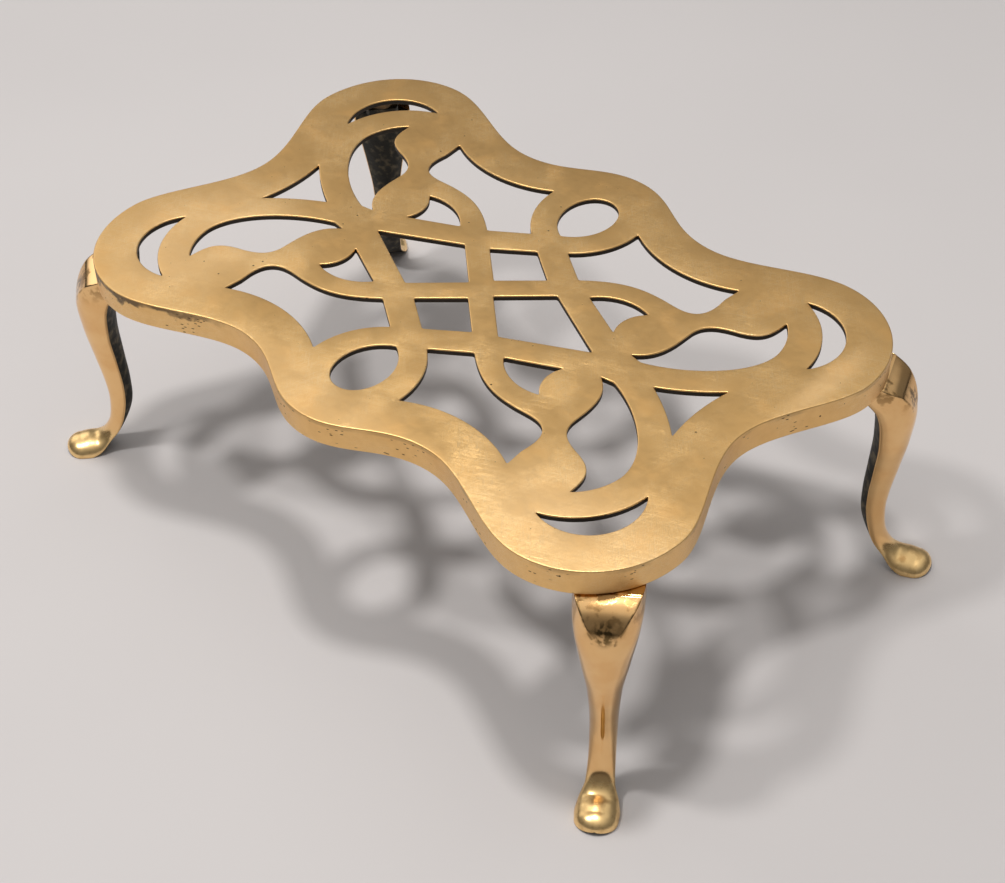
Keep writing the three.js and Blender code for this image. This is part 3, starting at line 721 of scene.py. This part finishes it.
flange_radius, flange_top, flange_low = 8.4, plate_top - 6.3, plate_top - 10.3


def cut_disc(cut):
    """The flange's disc, cut off straight where x is cut, its corners slightly rounded."""
    reach = np.arccos(cut / flange_radius)
    rim = arris(flange_radius, (0, 0), -np.degrees(reach), np.degrees(reach), 60)
    return evened(closed(rim, [rim[-1], rim[0]]), 0.6, 0.35)


flange = shell(
    [(cut_disc(-5), np.vstack([arris(0.4, (0.4, flange_top - 0.4), 90, 180),
                               arris(0.4, (0.4, flange_low + 0.4), 180, 270)]), True),
     (round_ring(bore_radius, 32), np.array([(0.2, flange_top), (0, flange_top - 0.2),
                                             (0, flange_low + 0.2), (0.2, flange_low)]), False)],
    [(0, 0), (1, 0)], [(0, -1), (1, -1)])
neck = shell([(cut_disc(4.7), np.array([(0, flange_top - 2), (0, seat - 2)]), True)],
             [(0, 0)], [(0, -1)])


def turned(shells, corner):
    """Shells about a screw's axis, turned to the leg's way out and set under its boss."""
    angle = np.radians(leg_headings[corner])
    turn = np.array([[np.cos(angle), np.sin(angle), 0], [-np.sin(angle), np.cos(angle), 0], [0, 0, 1]])
    shift = np.array([*(screws[corner] + plate_middle[:2] / MM), 0])
    return [(points @ turn + shift, faces) for points, faces in shells]


leg_skin, leg_faces, leg_behind, leg_tip = leg_loft()
polished_brass, tree, shader = new_material("polished_cast_brass")
spots = tree.node("TexCoord", {}, "Object")
raw = tree.node("Attribute", {"attribute_name": "as_cast"}, "Fac").ramp(0.35, 0.75)
height = tree.node("SeparateXYZ", {}, 2, Vector=spots)
waves = tree.node("TexNoise", {}, 0, Vector=spots, Scale=90.0, Detail=1.0)
grain = tree.node("TexNoise", {}, 0, Vector=spots, Scale=2500.0, Detail=3.0)
haze = patches(tree, spots, 0.012, 0.35, 0.7, 5.0)
pitted = pits(tree, spots, 0.007, 0.0004) * patches(tree, spots, 0.03, 0.48, 0.54)

# The feet are duller than the shanks, with brown tarnish, and are painted paler as a painted sheen.
# Smut fills the facet's lower tip, a painted dark reflection lies along its arrises, and near the joint
# with the plate the leg is darker: partly grime, partly painted shade under the plate's edge.
foot = height.ramp(15 * MM, 8 * MM)
tip = tree.node("Attribute", {"attribute_name": "facet_tip"}, "Fac")
tarnish = patches(tree, spots, 0.004, 0.48, 0.62, 5.0) * foot
smut_and_dark_reflection = patches(tree, spots, 0.0022, 0.40, 0.55, 6.0) * tip.ramp(0.15, 0.7)
# Darker near the plate: partly grime, partly painted shade under the plate's edge.
joint = height.ramp((seat - 16) * MM, (seat - 1) * MM)
grime_and_shade = (1 - patches(tree, spots, 0.006, 0.62, 0.50, 6.0)) * joint
metal = haze.mix((0.90, 0.575, 0.265), (0.84, 0.505, 0.215))
# Grime and painted shade at the top of the leg.
metal = (grime_and_shade * 0.75).mix(metal, (0.20, 0.11, 0.035))
# A painted sheen: the feet are painted paler.
metal = (foot * 0.8).mix(metal, (1.00, 0.72, 0.34))
metal = (tarnish * 0.3).mix(metal, (0.46, 0.26, 0.09))
# Smut at the facet's lower tip, and a painted dark reflection along its arrises.
metal = (smut_and_dark_reflection * 0.85).mix(metal, (0.10, 0.065, 0.022))
metal = pitted.mix(metal, (0.12, 0.07, 0.03))
casting = patches(tree, spots, 0.004, 0.45, 0.75, 6.0).mix((0.022, 0.021, 0.016), (0.16, 0.13, 0.08))
feed(shader, Base_Color=raw.mix(metal, casting), Metallic=1 - 0.6 * raw,
     Roughness=0.09 + 0.06 * haze + 0.45 * raw + 0.2 * pitted + 0.15 * grime_and_shade + 0.2 * foot,
     Normal=tree.node("Bump", {}, 0, Strength=0.4, Distance=0.0002,
                      Height=waves * 0.8 + grain * (0.04 + 0.5 * raw) - pitted - grime_and_shade * 0.2
                      + patches(tree, spots, 0.003, 0.2, 0.8, 5.0) * raw * 2.5))
fixing = len(flange[0]) + len(neck[0])
leg_raw, leg_smut_and_arris_reflection = np.append(leg_behind, np.ones(fixing)), np.append(leg_tip, np.zeros(fixing))
for corner in screws:
    piece("leg_" + corner + "_casting", turned([(leg_skin, leg_faces), flange, neck], corner),
          "leg_" + corner, "leg_brass", polished_brass, as_cast=leg_raw, facet_tip=leg_smut_and_arris_reflection)


# The screws
# Four turned brass screws with slotted cheese heads, driven up through the legs' flanges into the
# plate's bosses. Each head is a stem with two lands beside its slot.

head_radius, stem_radius, tip_radius, slot_half = 3.9, 1.9, 1.4, 0.6
head_low, head_high, screw_end = flange_low - 2.7, flange_low - 0.3, plate_top - 2.3
slot_roof = head_low + 1.1
stem_profile = np.array([
    (head_radius - tip_radius, screw_end), (head_radius - stem_radius, screw_end - 0.5),
    (head_radius - stem_radius, head_high), (0.2, head_high), (0, head_high - 0.2), (0, slot_roof)])
stem = shell([(round_ring(head_radius), stem_profile, True)], [(0, 0)], [(0, -1)])
land_reach = np.arcsin(slot_half / head_radius)
land_rim = arris(head_radius, (0, 0), np.degrees(land_reach), 180 - np.degrees(land_reach), 36)
land_ring = evened(closed(land_rim, [land_rim[-1], land_rim[0]]), 0.3, 0.45)
land_profile = np.vstack([[(0, slot_roof + 0.2)], arris(0.15, (0.15, head_low + 0.15), 180, 270, 2)])
lands = [shell([(land_ring * side, land_profile, True)], [(0, 0)], [(0, -1)]) for side in (1, -1)]
turned_brass, tree, shader = new_material("turned_screw_brass")
spots = tree.node("TexCoord", {}, "Object")
dull = patches(tree, spots, 0.002, 0.35, 0.7, 4.0)
height = tree.node("SeparateXYZ", {}, 2, Vector=spots)
# Darker from 1.1 mm above the head's face upwards: the slot's floor and the head's side up to the flange.
darker_above_face = height.ramp((head_low + 0.6) * MM, (head_low + 1.1) * MM) * 0.7
metal = dull.mix((0.74, 0.48, 0.19), (0.50, 0.31, 0.12))
feed(shader, Base_Color=darker_above_face.mix(metal, (0.08, 0.055, 0.03)), Metallic=1 - 0.5 * darker_above_face,
     Roughness=0.3 + 0.15 * dull + 0.25 * darker_above_face,
     Normal=tree.node("Bump", {}, 0, Strength=0.3, Distance=0.0001,
                      Height=tree.node("TexNoise", {}, 0, Vector=spots, Scale=3000.0)))
for corner in screws:
    piece("screw_" + corner + "_turned", turned([stem, *lands], corner), "screw_" + corner,
          "screw_brass", turned_brass)
